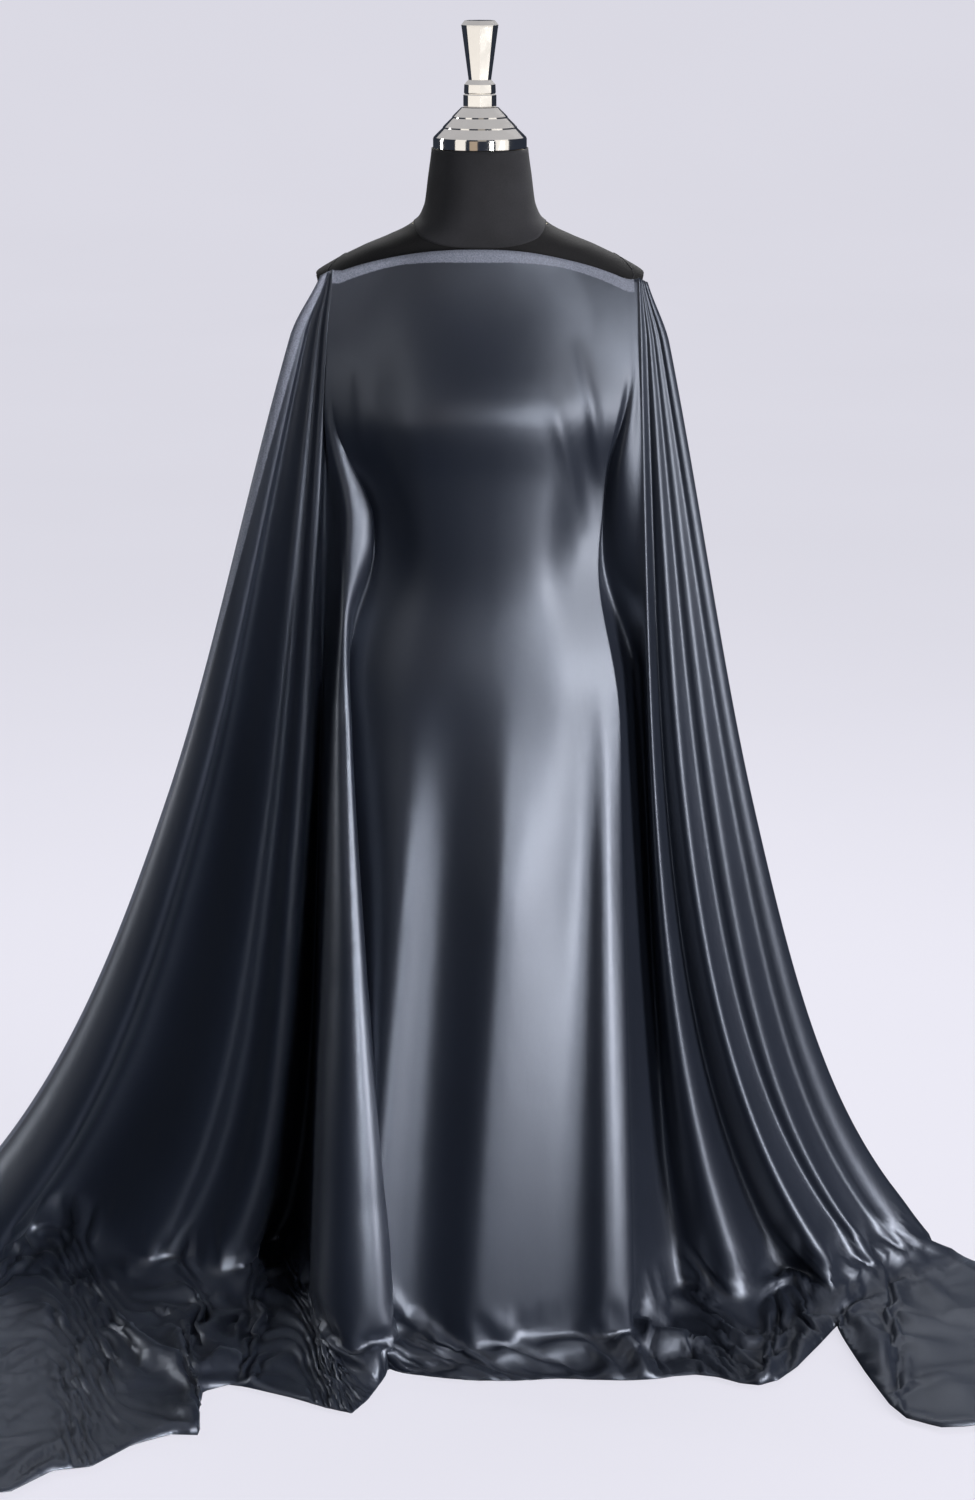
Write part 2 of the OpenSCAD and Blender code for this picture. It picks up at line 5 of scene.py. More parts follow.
import bpy
import numpy as np
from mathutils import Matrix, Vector


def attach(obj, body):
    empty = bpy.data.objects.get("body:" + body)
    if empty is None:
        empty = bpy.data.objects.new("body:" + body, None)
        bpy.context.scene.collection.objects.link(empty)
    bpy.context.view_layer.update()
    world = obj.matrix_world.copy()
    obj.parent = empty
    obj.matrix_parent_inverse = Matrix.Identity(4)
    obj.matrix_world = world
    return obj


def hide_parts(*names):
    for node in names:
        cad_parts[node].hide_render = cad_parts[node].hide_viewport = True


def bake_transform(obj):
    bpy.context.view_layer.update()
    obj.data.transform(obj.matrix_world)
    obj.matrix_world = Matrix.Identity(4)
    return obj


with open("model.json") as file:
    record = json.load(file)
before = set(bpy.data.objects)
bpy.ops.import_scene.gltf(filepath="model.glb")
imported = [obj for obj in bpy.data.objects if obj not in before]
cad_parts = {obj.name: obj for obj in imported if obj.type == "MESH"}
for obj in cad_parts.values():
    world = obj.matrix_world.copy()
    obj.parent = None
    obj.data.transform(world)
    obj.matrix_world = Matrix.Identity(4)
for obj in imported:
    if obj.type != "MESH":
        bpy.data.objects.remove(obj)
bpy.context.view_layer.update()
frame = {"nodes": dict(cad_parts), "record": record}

MM = 0.001

# ---- Camera ----

CAMERA_PLACE = (0.0085, -3.6, 1.65)
CAMERA_PITCH = math.radians(14.89)  # below the horizon
CAMERA_LENS = 76.0


def make_camera():
    data = bpy.data.cameras.new("camera")
    data.lens = CAMERA_LENS
    camera = bpy.data.objects.new("camera", data)
    camera.location = CAMERA_PLACE
    camera.rotation_euler = (math.pi / 2 - CAMERA_PITCH, 0, 0)
    bpy.context.collection.objects.link(camera)
    bpy.context.scene.camera = camera


make_camera()

# ---- Curves and surfaces in numpy ----


def ease(t):
    t = np.clip(t, 0, 1)
    return t * t * (3 - 2 * t)


def mix(a, b, t):
    return a + (b - a) * t


def smooth_rows(rows, key):
    """Catmull-Rom interpolation of a table's rows, whose first value rises, at each key."""
    rows = np.array(rows, float)
    key = np.clip(np.asarray(key, float), rows[0, 0], rows[-1, 0])
    i = np.clip(np.searchsorted(rows[:, 0], key, side="right") - 1, 0, len(rows) - 2)
    t = ((key - rows[i, 0]) / (rows[i + 1, 0] - rows[i, 0]))[..., None]
    p0, p1 = rows[np.maximum(i - 1, 0), 1:], rows[i, 1:]
    p2, p3 = rows[i + 1, 1:], rows[np.minimum(i + 2, len(rows) - 1), 1:]
    return 0.5 * (
        2 * p1
        + (p2 - p0) * t
        + (2 * p0 - 5 * p1 + 4 * p2 - p3) * t**2
        + (3 * p1 - p0 - 3 * p2 + p3) * t**3
    )


def bspline_at(points, places):
    """Uniform cubic B-spline across axis 1 of an array of rows of points, at places counted in points."""
    padded = np.concatenate(
        [2 * points[:, :1] - points[:, 1:2], points, 2 * points[:, -1:] - points[:, -2:-1]], axis=1
    )
    k = np.clip(places.astype(int), 0, points.shape[1] - 2)
    t = (places - k)[None, :, None]
    return (
        (1 - t) ** 3 / 6 * padded[:, k]
        + (3 * t**3 - 6 * t**2 + 4) / 6 * padded[:, k + 1]
        + (-3 * t**3 + 3 * t**2 + 3 * t + 1) / 6 * padded[:, k + 2]
        + t**3 / 6 * padded[:, k + 3]
    )


def link(name, mesh):
    piece = bpy.data.objects.new(name, mesh)
    bpy.context.collection.objects.link(piece)
    return piece


def grid_mesh(name, grid, closed=False):
    """A mesh object over a grid of points: rows, columns, xyz."""
    rows, columns = grid.shape[:2]
    mesh = bpy.data.meshes.new(name)
    pairs = [(j, (j + 1) % columns) for j in range(columns if closed else columns - 1)]
    faces = [
        (i * columns + j, i * columns + k, (i + 1) * columns + k, (i + 1) * columns + j)
        for i in range(rows - 1)
        for j, k in pairs
    ]
    mesh.from_pydata(grid.reshape(-1, 3).tolist(), [], faces)
    mesh.shade_smooth()
    return link(name, mesh)


def apply_modifiers(piece):
    """Replaces a piece's mesh with what its modifiers make of it."""
    graph = bpy.context.evaluated_depsgraph_get()
    mesh = bpy.data.meshes.new_from_object(piece.evaluated_get(graph))
    piece.modifiers.clear()
    piece.data = mesh


# ---- Torso, in millimetres: height, half width, front depth, back depth ----

STATIONS = [
    (620, 152, 96, 112), (680, 160, 101, 122), (745, 163, 104, 121),
    (805, 155, 104, 105), (865, 138, 98, 86), (930, 119, 87, 73),
    (985, 124, 86, 77), (1045, 136, 90, 88), (1108, 147, 95, 98),
    (1155, 156, 91, 104), (1195, 170, 82, 105), (1225, 184, 72, 100),
    (1250, 188, 62, 91), (1268, 161, 58, 84), (1283, 130, 59, 76),
    (1296, 99, 60, 69), (1304, 82, 60, 66), (1314, 69, 60, 63),
    (1330, 62, 58, 60), (1360, 58, 57, 57), (1391, 54, 54, 54),
]
TORSO_POWER = 2.25
SHOULDER_HALF = 185
ARM_PLANE_TOP, ARM_PLANE_BOTTOM, ARM_PLANE_SLOPE = 1252, 1110, 0.28
BUST_X, BUST_Z, BUST_RISE = 78, 1108, 28
SEAT_X, SEAT_Z, SEAT_RISE = 70, 705, 16


def bump(x, z, x0, z0, rx, rz, rise, bridged):
    """A swelling on each side of the torso; cloth that bridges the two lies level between them."""
    dx = np.abs(x) - x0
    if bridged:
        dx = np.maximum(0, dx)
    return rise * np.exp(-((dx / rx) ** 2) - ((z - z0) / rz) ** 2)


def torso_point(angle, z, grow=0.0, bridged=False):
    """Points of the torso's outline in metres, at an angle in degrees and a height in millimetres."""
    angle, z = np.broadcast_arrays(np.radians(angle), np.asarray(z, float))
    row = smooth_rows(STATIONS, z)
    c, s = np.cos(angle), np.sin(angle)
    depth = np.where(s < 0, row[..., 1], row[..., 2]) + grow
    power = 2 / TORSO_POWER
    x = (row[..., 0] + grow) * np.sign(c) * np.abs(c) ** power
    y = depth * np.sign(s) * np.abs(s) ** power
    limit = SHOULDER_HALF - np.maximum(0, ARM_PLANE_TOP - z) * ARM_PLANE_SLOPE + grow
    x = np.where(z > ARM_PLANE_BOTTOM, np.clip(x, -limit, limit), x)
    swell = np.where(
        s < 0,
        -bump(x, z, BUST_X, BUST_Z, 44, 50, BUST_RISE, bridged) * np.abs(s) ** 0.5,
        bump(x, z, SEAT_X, SEAT_Z, 50, 60, SEAT_RISE, False) * np.abs(s) ** 0.5,
    )
    return np.stack([x, y + swell, z], axis=-1) * MM


# ---- The satin: lines that its folds follow, from left to right ----

# Where the two pins hold it, in metres; side -1 is at the left of the picture
PIN = {-1: (-0.163, -0.050, 1.262), 1: (0.177, -0.050, 1.252)}
EDGE_TOP = 1.284  # height of the cloth's edge in the middle of the chest
HIP_Z = 0.745  # below this height the front panel leaves the torso
TURN_Z = 0.03  # where the cloth turns from hanging to lying
DEEPEN = 1.35  # how much later the wings' folds grow deep than they grow wide
TOP_FADE = 0.5  # the share of its drop over which a fold loses its offset at the pin
GATHER = 0.06  # and the share over which it opens out from the pin

# The front panel on the torso
CLOTH_GAP = 5.0  # millimetres outside the torso's cover
REACH_TOP, REACH_LOW = 58, 76  # degrees that it reaches round each side, at the pins and below them
REACH_FROM, REACH_FALL = 1256, 150  # millimetres: where the reach starts to grow, and over what height
APEX_Z = 1.105  # height of the bust
BRIDGE = 0.13  # how fast the cloth falls back below the bust
BRIDGE_ROUND, HIP_ROUND, FALL_ROUND = 0.004, 0.025, 0.03  # how rounded its bends are at bust and hips
RIDGE_Z, RIDGE_GROWTH = 0.84, 0.32  # where the folds below the waist start, and over what height they grow
EDGE_FLAT = 2.2  # how flat the top edge is in the middle
APEX_PROUD, APEX_SPREAD = 0.007, 0.045  # makes up at the bust for the evening out
WAIST_Z, WAIST_SPREAD = 0.965, 0.075
WAIST_BRIDGE = {-1: 0.0, 1: 0.13}  # how much wider than the waist the cloth hangs
STEEPEST = {-1: 0.72, 1: 0.52}  # how steeply the panel may turn away at each side
BENDS = ((-0.045, 0.15), (-0.022, 0.2), (0.0, 0.3), (0.022, 0.2), (0.045, 0.15))  # height and share

# The cloth drawn tight between the chest and the wings
TAUT_FROM = 0.60  # the share of the front panel that stays on the chest
TAUT_LOW = {-1: 0.98, 1: 1.03}  # below these heights the wings' cloth hangs free of the chest
TAUT_RISE = 0.14  # the height over which it grows tight
TAUT_PANEL = 0.75  # how far from the chest to the first ridge the front panel reaches
PATH_TOP = 0.002  # how far under its pin a fold through listed points starts
# The first ridge of each wing, as wing_xy takes it: foot, straight, power and top
WING_RIDGE = {
    -1: ((-0.330, 0.005), 0.58, 12, (-0.004, -0.012)),
    1: ((0.300, -0.060), 0.30, 4, (0.000, -0.010)),
}


def wing_xy(side, z, floor, straight, power, top):
    """Where a wing's fold is at each height: floor is its foot, top its offset at the pin."""
    px, py, pz = PIN[side]
    drop = np.clip((pz - z) / pz, 0, 1)
    share = straight * drop + (1 - straight) * drop**power
    near = (1 - ease(drop / TOP_FADE)) * (0.45 + 0.55 * ease(drop / GATHER))
    return px + top[0] * near + (floor[0] - px) * share, py + top[1] * near + (floor[1] - py) * drop**DEEPEN


def wing_line(side, floor, straight, power, top):
    """A fold that leaves a pin, hangs nearly straight and sweeps outwards near the floor."""
    return lambda z: wing_xy(side, z, floor, straight, power, top), PIN[side][2] - abs(top[0]) * 0.3


def chest_point(f, z):
    """The front panel on the torso, with its bends evened out over some centimetres of height."""
    z = np.asarray(z, float)
    spread = [chest_raw(f, z + dz) * share for dz, share in BENDS]
    point = sum(spread)
    point[..., 1] -= APEX_PROUD * np.exp(-(((z - APEX_Z) / APEX_SPREAD) ** 2))
    return point


def chest_raw(f, z):
    """The front panel before it is evened out. It leaves the torso where its sides turn away too steeply."""
    side = 1 if f > 0 else -1
    high = (HIP_Z + soft_step(z - HIP_Z, HIP_ROUND)) / MM
    reach = mix(REACH_TOP, REACH_LOW, ease((REACH_FROM - high) / REACH_FALL))
    point = torso_point(270 + reach * f, high, CLOTH_GAP, True)
    apex = torso_point(270 + REACH_LOW * f, np.full_like(high, APEX_Z / MM), CLOTH_GAP, True)
    hung = apex[..., 1] + BRIDGE * np.abs(z - APEX_Z)
    point[..., 1] = np.where(z < APEX_Z, hung - soft_step(hung - point[..., 1], BRIDGE_ROUND), point[..., 1])
    point[..., 0] *= 1 + WAIST_BRIDGE[side] * abs(f) * np.exp(-(((z - WAIST_Z) / WAIST_SPREAD) ** 2))
    shares = side * np.linspace(0.02, 1, 40)[:, None]
    around = torso_point(270 + reach[None, :] * shares, high[None, :], CLOTH_GAP, True)
    past = np.abs(point[..., 0])[None, :] - np.abs(around[..., 0])
    bridged = np.where(past >= 0, around[..., 1] + STEEPEST[side] * past, 9.0).min(axis=0)
    point[..., 1] = np.minimum(point[..., 1], bridged)
    return point


def soft_step(value, width):
    """The value where it is above zero, and nought below, with a rounded corner."""
    return 0.5 * (value + np.sqrt(value**2 + width**2))


def taut_xy(side, share, z):
    """The cloth stretched between the chest and the first ridge of a wing, level with the bust and above."""
    chest = chest_point(side * TAUT_FROM, z)
    ridge = wing_xy(side, z, *WING_RIDGE[side])
    return mix(chest[..., 0], ridge[0], share), mix(chest[..., 1], ridge[1], share)


def path_line(points, side, share):
    """A fold through listed points, height, x and y, that joins the taut cloth above the bust."""
    rows = sorted(points)

    def line(z):
        xy = smooth_rows(rows, z)
        taut = ease((z - TAUT_LOW[side]) / TAUT_RISE)
        x, y = taut_xy(side, share, z)
        return mix(xy[..., 0], x, taut), mix(xy[..., 1], y, taut)

    return line, PIN[side][2] - PATH_TOP


def panel_line(f, floor, ridge=0.0):
    """A line of the front panel, on the torso down to the hips and then straight to the floor.

    f is its place across the panel, from -1 to 1, and ridge how far it stands out, in millimetres.
    """
    side = 1 if f > 0 else -1

    def line(z):
        chest = chest_point(f, z)
        x, y = chest[..., 0], chest[..., 1]
        if abs(f) > TAUT_FROM:
            taut = ease((z - TAUT_LOW[side]) / TAUT_RISE)
            tx, ty = taut_xy(side, TAUT_PANEL * (abs(f) - TAUT_FROM) / (1 - TAUT_FROM), z)
            x, y = mix(x, tx, taut), mix(y, ty, taut)
        drop = np.clip(soft_step(HIP_Z - z, FALL_ROUND) / HIP_Z, 0, 1)
        fall = 0.5 * drop + 0.5 * ease(drop)
        grown = ease((RIDGE_Z - z) / RIDGE_GROWTH)
        return mix(x, floor[0], fall), mix(y, floor[1], fall) - ridge * MM * grown

    return line, mix(EDGE_TOP, PIN[side][2], abs(f) ** EDGE_FLAT)


# Each fold line, and where its end lies on the floor
FOLD_LINES = [
    # the left wing's outer strip and its broad dark hollow
    (wing_line(-1, (-0.735, 0.150), 0.72, 6, (-0.026, -0.006)), (-0.800, 0.170)),
    (wing_line(-1, (-0.722, 0.110), 0.72, 6, (-0.023, -0.008)), (-0.810, 0.000)),
    (wing_line(-1, (-0.690, 0.080), 0.72, 6, (-0.020, -0.008)), (-0.790, -0.200)),
    (wing_line(-1, (-0.655, 0.050), 0.71, 6, (-0.017, -0.006)), (-0.730, -0.380)),
    (wing_line(-1, (-0.632, 0.050), 0.70, 6, (-0.015, -0.005)), (-0.640, -0.490)),
    (wing_line(-1, (-0.628, 0.110), 0.70, 6, (-0.014, -0.003)), (-0.560, -0.520)),
    (wing_line(-1, (-0.610, 0.165), 0.70, 6, (-0.013, -0.002)), (-0.505, -0.518)),
    (wing_line(-1, (-0.560, 0.150), 0.68, 7, (-0.012, -0.003)), (-0.465, -0.470)),
    # two soft ridges
    (wing_line(-1, (-0.500, 0.080), 0.66, 7, (-0.011, -0.004)), (-0.424, -0.460)),
    (wing_line(-1, (-0.448, 0.030), 0.64, 8, (-0.010, -0.006)), (-0.385, -0.410)),
    (wing_line(-1, (-0.428, 0.036), 0.63, 8, (-0.009, -0.006)), (-0.345, -0.385)),
    (wing_line(-1, (-0.410, 0.058), 0.62, 9, (-0.008, -0.006)), (-0.312, -0.387)),
    (wing_line(-1, (-0.384, 0.040), 0.60, 10, (-0.007, -0.007)), (-0.318, -0.330)),
    (wing_line(-1, (-0.354, -0.006), 0.59, 11, (-0.006, -0.010)), (-0.318, -0.280)),
    (wing_line(-1, (-0.326, 0.004), 0.58, 12, (-0.004, -0.012)), (-0.290, -0.262)),
    (wing_line(-1, (-0.306, 0.014), 0.57, 12, (-0.003, -0.012)), (-0.275, -0.266)),
    # the deep valley beside the column
    (wing_line(-1, (-0.300, 0.090), 0.56, 12, (-0.003, -0.013)), (-0.255, -0.275)),
    (wing_line(-1, (-0.265, 0.125), 0.50, 10, (-0.002, -0.013)), (-0.215, -0.295)),
    (path_line([
        (1.262, -0.166, -0.054), (1.05, -0.166, -0.050), (0.95, -0.167, -0.040),
        (0.75, -0.186, -0.010), (0.45, -0.196, 0.020), (0.20, -0.206, 0.050),
        (0.02, -0.215, 0.060),
    ], -1, 0.97), (-0.175, -0.320)),
    # the column: a round fold that leaves the waist and widens to the floor
    (path_line([
        (1.262, -0.164, -0.060), (1.05, -0.160, -0.056), (0.95, -0.161, -0.056),
        (0.75, -0.172, -0.050), (0.45, -0.184, -0.080), (0.20, -0.196, -0.120),
        (0.02, -0.202, -0.140),
    ], -1, 0.94), (-0.145, -0.334)),
    (path_line([
        (1.262, -0.162, -0.066), (1.05, -0.153, -0.066), (0.95, -0.153, -0.074),
        (0.75, -0.168, -0.080), (0.45, -0.176, -0.130), (0.20, -0.186, -0.185),
        (0.02, -0.190, -0.205),
    ], -1, 0.91), (-0.128, -0.300)),
    (path_line([
        (1.262, -0.160, -0.068), (1.05, -0.143, -0.068), (0.95, -0.141, -0.073),
        (0.86, -0.155, -0.080), (0.75, -0.155, -0.090), (0.45, -0.152, -0.160),
        (0.20, -0.150, -0.215), (0.02, -0.148, -0.240),
    ], -1, 0.88), (-0.116, -0.262)),
    (path_line([
        (1.262, -0.158, -0.066), (1.05, -0.134, -0.065), (0.95, -0.128, -0.066),
        (0.87, -0.147, -0.072), (0.75, -0.146, -0.085), (0.45, -0.128, -0.150),
        (0.20, -0.110, -0.205), (0.02, -0.102, -0.232),
    ], -1, 0.85), (-0.110, -0.240)),
    (path_line([
        (1.262, -0.156, -0.060), (1.05, -0.130, -0.060), (0.95, -0.119, -0.055),
        (0.86, -0.146, -0.052), (0.75, -0.150, -0.060), (0.45, -0.130, -0.120),
        (0.20, -0.104, -0.165), (0.02, -0.094, -0.190),
    ], -1, 0.82), (-0.108, -0.224)),
    # the front panel
    (panel_line(-1.00, (-0.150, -0.155)), (-0.104, -0.222)),
    (panel_line(-0.86, (-0.150, -0.180)), (-0.098, -0.228)),
    (panel_line(-0.70, (-0.146, -0.194)), (-0.086, -0.233)),
    (panel_line(-0.56, (-0.142, -0.200), 6), (-0.074, -0.237)),
    (panel_line(-0.44, (-0.138, -0.200), 14), (-0.062, -0.240)),
    (panel_line(-0.36, (-0.130, -0.198), 18), (-0.050, -0.243)),
    (panel_line(-0.28, (-0.116, -0.196), 12), (-0.036, -0.246)),
    (panel_line(-0.19, (-0.098, -0.196), 0), (-0.018, -0.250)),
    (panel_line(-0.10, (-0.072, -0.196), -4), (0.002, -0.252)),
    (panel_line(-0.02, (-0.048, -0.196), 6), (0.020, -0.252)),
    (panel_line(0.06, (-0.026, -0.196), 20), (0.038, -0.252)),
    (panel_line(0.12, (-0.006, -0.196), 25), (0.056, -0.250)),
    (panel_line(0.20, (0.016, -0.196), 19), (0.072, -0.248)),
    (panel_line(0.31, (0.044, -0.196), 9), (0.090, -0.246)),
    (panel_line(0.43, (0.074, -0.196), 0), (0.108, -0.247)),
    (panel_line(0.55, (0.104, -0.195), -8), (0.126, -0.249)),
    (panel_line(0.65, (0.126, -0.195), -6), (0.142, -0.250)),
    (panel_line(0.73, (0.144, -0.195), 4), (0.158, -0.251)),
    (panel_line(0.82, (0.158, -0.193), 2), (0.174, -0.251)),
    (panel_line(0.92, (0.174, -0.188), -2), (0.194, -0.249)),
    (panel_line(0.97, (0.186, -0.176), -4), (0.208, -0.246)),
    (panel_line(1.00, (0.180, -0.130), -4), (0.225, -0.240)),
    # the right wing, from the valley at the waist outwards
    (path_line([
        (1.252, 0.168, -0.062), (1.10, 0.152, -0.055), (0.93, 0.140, -0.035),
        (0.80, 0.172, -0.020), (0.45, 0.190, -0.040), (0.20, 0.198, -0.060),
        (0.02, 0.205, -0.080),
    ], 1, 0.85), (0.250, -0.236)),
    (path_line([
        (1.252, 0.171, -0.066), (1.10, 0.160, -0.078), (0.93, 0.158, -0.050),
        (0.80, 0.190, -0.020), (0.45, 0.208, 0.000), (0.20, 0.225, -0.010),
        (0.02, 0.245, -0.020),
    ], 1, 0.94), (0.275, -0.242)),
    (wing_line(1, (0.285, -0.060), 0.30, 4, (-0.001, -0.010)), (0.300, -0.258)),
    (wing_line(1, (0.330, -0.085), 0.28, 4, (0.001, -0.012)), (0.322, -0.264)),
    (wing_line(1, (0.365, -0.040), 0.30, 4, (0.003, -0.009)), (0.345, -0.250)),
    (wing_line(1, (0.395, 0.020), 0.34, 5, (0.005, -0.007)), (0.370, -0.215)),
    (wing_line(1, (0.430, -0.020), 0.36, 5, (0.006, -0.006)), (0.400, -0.160)),
    (wing_line(1, (0.465, -0.055), 0.40, 5, (0.007, -0.007)), (0.428, -0.105)),
    (wing_line(1, (0.490, -0.005), 0.46, 6, (0.008, -0.005)), (0.430, -0.130)),
    (wing_line(1, (0.505, 0.040), 0.50, 6, (0.009, -0.004)), (0.445, -0.220)),
    (wing_line(1, (0.522, 0.010), 0.56, 7, (0.010, -0.005)), (0.465, -0.310)),
    (wing_line(1, (0.530, 0.050), 0.62, 7, (0.011, -0.004)), (0.480, -0.345)),
    (wing_line(1, (0.541, 0.082), 0.66, 7.5, (0.012, -0.003)), (0.515, -0.368)),
    (wing_line(1, (0.552, 0.078), 0.67, 7.5, (0.013, -0.005)), (0.560, -0.365)),
    (wing_line(1, (0.568, 0.080), 0.68, 7.5, (0.015, -0.005)), (0.620, -0.330)),
    (wing_line(1, (0.588, 0.092), 0.68, 7.5, (0.017, -0.003)), (0.680, -0.220)),
    (wing_line(1, (0.604, 0.112), 0.68, 7.5, (0.019, 0.000)), (0.740, 0.000)),
]
FALL_ROWS = 146
EDGE_DROPS = [0, 0.004, 0.0078, 0.0113, 0.0118]  # closer rows along the selvedge, as shares of the drop
BAND = 0.014  # depth of the selvedge
CELL = 0.0072  # spacing of the cloth's points along the floor
LIE_Z = 0.006  # height of the cloth that lies flat
TURN_RUN = 0.05  # how far the cloth runs over the floor before it lies
SPARSE = 1.15  # its points on the floor are this much further apart along it than across
PANEL_FROM, PANEL_TO = 17, 47  # the fold lines between which the top edge is the selvedge

# Fold line, and how high the crumples start there, in metres
CRUMPLES = [
    (0, 0.02), (5, 0.03), (7, 0.04), (9, 0.05), (17, 0.05), (19, 0.012), (23, 0.008), (25, 0.012),
    (36, 0.014), (41, 0.025), (46, 0.045), (52, 0.045), (54, 0.012), (56, 0.025), (59, 0.02), (63, 0.015),
]
CRUMPLE_RATE = 2.1  # radians of wave from one fold line to the next
CRUMPLE_RUN = 0.028  # metres along the floor to a radian of wave
UNSETTLED = 0.4  # the share of the crumples' height that is kept where they aren't left to fall

# How the cloth settles on the floor
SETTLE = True
SETTLE_FRAMES = 32
HEM_Z = 0.0072  # the hem's points start below this height, and stay where they lie
PIN_LOW, PIN_HIGH = 0.045, 0.105  # the cloth is free below the first height and held above the second
HELD_ROWS = 0.02  # how much more of the held cloth takes part

# Drag folds beside the bust: points of x and height, width and how far they stand out, in metres
DRAG_FOLDS = [
    ([(-0.133, 1.170), (-0.128, 1.020)], 0.0065, 0.0030),
    ([(-0.106, 1.140), (-0.118, 0.990)], 0.0060, 0.0030),
    ([(-0.080, 1.125), (-0.110, 0.980)], 0.0065, 0.0025),
    ([(0.078, 1.130), (0.098, 1.060), (0.120, 0.960)], 0.0080, 0.0040),
    ([(0.108, 1.185), (0.124, 1.120), (0.138, 1.020)], 0.0070, 0.0040),
]


def drag_fold_push(grid):
    """Adds the drag folds to the hanging cloth."""
    x, z = grid[..., 0], grid[..., 2]
    for points, width, rise in DRAG_FOLDS:
        tops = np.array(sorted(points, key=lambda p: p[1]))
        middle = np.interp(z, tops[:, 1], tops[:, 0])
        low, high = tops[0, 1], tops[-1, 1]
        along = np.clip((z - low) / (high - low), 0, 1)
        fade = np.where((z > low) & (z < high), np.sin(np.pi * along) ** 0.7, 0)
        grid[..., 1] -= rise * fade * np.exp(-(((x - middle) / width) ** 2))
    return grid


def hanging_grid():
    """The part of the cloth that hangs, as rows of points from its top edge to just above the floor."""
    drops = np.concatenate([EDGE_DROPS, np.linspace(0.018, 1, FALL_ROWS - len(EDGE_DROPS))])
    control = []
    for (line, top), _ in FOLD_LINES:
        z = mix(top, TURN_Z, drops)
        x, y = line(z)
        control.append(np.stack([x, y, z], axis=-1))
    control = np.stack(control, axis=1)
    dense = np.linspace(0, len(FOLD_LINES) - 1, 4000)
    foot = bspline_at(control[-1:], dense)[0]
    run = np.concatenate([[0], np.cumsum(np.linalg.norm(np.diff(foot[:, :2], axis=0), axis=1))])
    places = np.interp(np.linspace(0, run[-1], int(run[-1] / CELL)), run, dense)
    return drag_fold_push(bspline_at(control, places)), places


def floor_waves(places, share, length):
    """How high the cloth on the floor starts above it: waves across its width, which fall into crumples."""
    strength = np.interp(places, *zip(*CRUMPLES))
    swing = 1.6 * math.sin(5.1 * share + 0.9) + 0.8 * np.sin(places * 0.7 + 3.0 * share)
    across = 0.5 + 0.5 * np.sin(places * CRUMPLE_RATE + swing)
    along = 0.5 + 0.5 * np.sin(length * share / CRUMPLE_RUN + 1.7 * np.sin(places * 0.9))
    hump = max(0.12, math.sin(math.pi * share)) ** 0.6
    return strength * hump * (0.65 * across + 0.35 * along)


def cloth_piece():
    """The whole cloth: the hanging grid, and columns of points that run on over the floor to the hem."""
    grid, places = hanging_grid()
    rows, columns = grid.shape[:2]
    foot = grid[-1]
    ends = np.array([end for _, end in FOLD_LINES])
    at = np.arange(len(FOLD_LINES))
    hem = np.stack([np.interp(places, at, ends[:, 0]), np.interp(places, at, ends[:, 1])], axis=-1)
    runs = np.linalg.norm(hem - foot[:, :2], axis=1)
    counts = np.maximum(3, np.round(runs / (CELL * SPARSE)).astype(int))
    points = [grid.reshape(-1, 3)]
    start, total = [], rows * columns
    for j in range(columns):
        share = np.arange(1, counts[j] + 1) / counts[j]
        xy = foot[j, :2] + (hem[j] - foot[j, :2]) * share[:, None]
        z = mix(TURN_Z, LIE_Z, ease(share * runs[j] / TURN_RUN))
        z = z + np.array([floor_waves(places[j], s, runs[j]) for s in share]) * (1 if SETTLE else UNSETTLED)
        z[-1] = LIE_Z
        points.append(np.concatenate([xy, z[:, None]], axis=1))
        start.append(total)
        total += counts[j]
    points = np.concatenate(points)

    def at_floor(j, i):
        return (rows - 1) * columns + j if i == 0 else start[j] + i - 1

    faces = [
        (i * columns + j, i * columns + j + 1, (i + 1) * columns + j + 1, (i + 1) * columns + j)
        for i in range(rows - 1)
        for j in range(columns - 1)
    ]
    for j in range(columns - 1):
        both = min(counts[j], counts[j + 1])
        faces += [
            (at_floor(j, i), at_floor(j + 1, i), at_floor(j + 1, i + 1), at_floor(j, i + 1))
            for i in range(both)
        ]
        longer, shorter = range(both, counts[j + 1]), range(both, counts[j])
        faces += [(at_floor(j, both), at_floor(j + 1, i), at_floor(j + 1, i + 1)) for i in longer]
        faces += [(at_floor(j, i), at_floor(j + 1, both), at_floor(j, i + 1)) for i in shorter]
    if SETTLE:
        points = settle(points, faces, rows, columns)
    mesh = bpy.data.meshes.new("satin_drape")
    mesh.from_pydata(points.tolist(), [], faces)
    mesh.shade_smooth()
    edge = mesh.attributes.new("edge_distance", "FLOAT", "POINT")
    distance = np.full(len(points), 1.0)
    across = np.linalg.norm(np.diff(grid, axis=1), axis=2)
    from_left = np.concatenate([np.zeros((rows, 1)), np.cumsum(across, axis=1)], axis=1)
    down = np.linalg.norm(np.diff(grid, axis=0), axis=2)
    from_top = np.concatenate([np.zeros((1, columns)), np.cumsum(down, axis=0)])
    on_panel = (places > PANEL_FROM) & (places < PANEL_TO)
    from_top = np.where(on_panel[None, :], from_top, 1.0)
    distance[: rows * columns] = np.minimum(from_left, from_top).ravel()
    edge.data.foreach_set("value", distance.astype(np.float32))
    return link("satin_drape", mesh)


